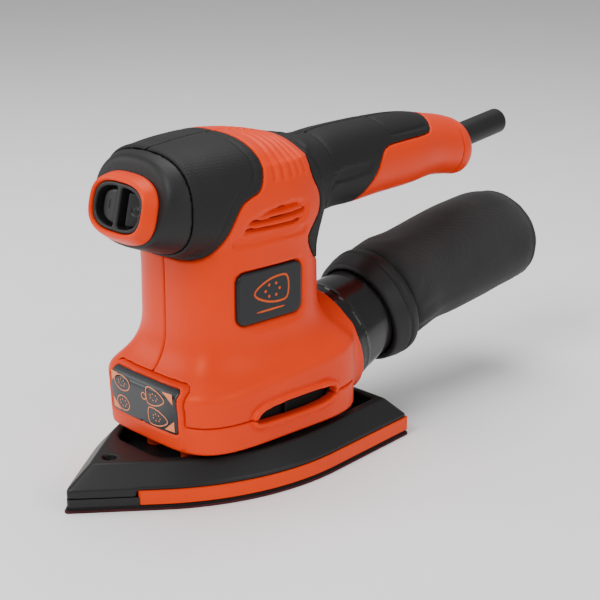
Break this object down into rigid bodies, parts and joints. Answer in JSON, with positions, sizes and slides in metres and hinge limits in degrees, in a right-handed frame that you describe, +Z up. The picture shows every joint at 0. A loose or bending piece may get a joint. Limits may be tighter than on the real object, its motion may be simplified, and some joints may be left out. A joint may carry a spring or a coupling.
{
  "type": "detail sander",
  "caption": "Corded palm sander with an iron-shaped orbital pad, upright motor neck, rocker switch on the nose, rear handle and a dust bag on the rear outlet.",
  "frame": {"origin": "motor axis at the sanding face", "axes": "+Z up along the motor axis, -Y towards the pad's point, +X to the side"},
  "size_m": [0.1066, 0.3127, 0.1649],
  "materials": {
    "orange_plastic": "moulded, fine matt grain",
    "black_rubber": "soft overmould, matt",
    "black_plastic": "moulded, satin",
    "label_print": "printed film",
    "badge_plate": "moulded badge",
    "plated_steel": "zinc plated",
    "bearing_steel": "ground",
    "core_steel": "laminated",
    "copper": "enamelled wire and copper bars",
    "cast_zinc": "die cast",
    "frame_plastic": "glass-filled moulding",
    "carbon": "pressed carbon",
    "capacitor_case": "potted box",
    "hook_fabric": "hook layer",
    "abrasive": "coated abrasive",
    "bag_fabric": "woven filter cloth"
  },
  "bodies": {
    "root": {"housing_right": "orange_plastic", "housing_left": "orange_plastic", "skirt_ring": "orange_plastic", "dust_outlet": "orange_plastic", "nose_cap": "black_plastic", "nose_grip_right": "black_rubber", "nose_grip_left": "black_rubber", "rear_grip_right": "black_rubber", "rear_grip_left": "black_rubber", "handle_end_cap": "orange_plastic", "front_label": "label_print", "badge_right": "badge_plate", "badge_left": "badge_plate", "housing_screws": "plated_steel", "slot_baffle_right": "black_plastic", "slot_baffle_left": "black_plastic", "switch_bezel": "orange_plastic", "switch_frame": "black_plastic", "rocker_pin": "plated_steel", "switch_body": "black_plastic", "cord_guard": "black_rubber", "cord_clamp": "black_plastic", "field_core": "core_steel", "field_coil_lower": "copper", "field_coil_upper": "copper", "lower_bearing": "bearing_steel", "upper_bearing": "bearing_steel", "bearing_plate": "frame_plastic", "upper_bearing_cup": "frame_plastic", "brush_right": "carbon", "brush_left": "carbon", "brush_holder_right": "black_plastic", "brush_holder_left": "black_plastic", "brush_spring_right": "plated_steel", "brush_spring_left": "plated_steel", "orbit_posts": "black_rubber", "capacitor": "capacitor_case"},
    "rotor": {"motor_shaft": "bearing_steel", "armature": "core_steel", "commutator": "copper", "cooling_fan": "black_plastic", "balance_weight": "cast_zinc", "drive_pin": "bearing_steel"},
    "pad": {"platen": "black_plastic", "pad_band": "orange_plastic", "pad_sole": "black_plastic", "detail_tip": "black_plastic", "hook_pad": "hook_fabric", "abrasive_sheet": "abrasive", "pad_bearing": "bearing_steel", "tip_screw": "plated_steel"},
    "rocker": {"switch_rocker": "black_plastic"},
    "dust_tube": {"dust_tube": "black_plastic"},
    "dust_bag": {"bag_collar": "black_rubber", "dust_bag": "bag_fabric"}
  },
  "joints": [
    {"name": "shaft_spin", "type": "hinge", "parent": "root", "child": "rotor", "pos_m": [0, 0, 0.1], "axis": [0, 0, 1], "continuous": true},
    {"name": "pad_orbit", "type": "hinge", "parent": "rotor", "child": "pad", "pos_m": [0, -0.0008, 0.0265], "axis": [0, 0, 1], "continuous": true},
    {"name": "switch_rock", "type": "hinge", "parent": "root", "child": "rocker", "pos_m": [0, -0.04932, 0.13524], "axis": [0, -0.23, -0.9732], "range_deg": [0, 12]},
    {"name": "tube_pull", "type": "slide", "parent": "root", "child": "dust_tube", "axis": [0, 0.9659, 0.2588], "range_m": [0, 0.03]},
    {"name": "bag_pull", "type": "slide", "parent": "dust_tube", "child": "dust_bag", "axis": [0, 0.9659, 0.2588], "range_m": [0, 0.02]}
  ],
  "couplings": [
    {"joint": "pad_orbit", "follows": "shaft_spin", "ratio": -1}
  ]
}
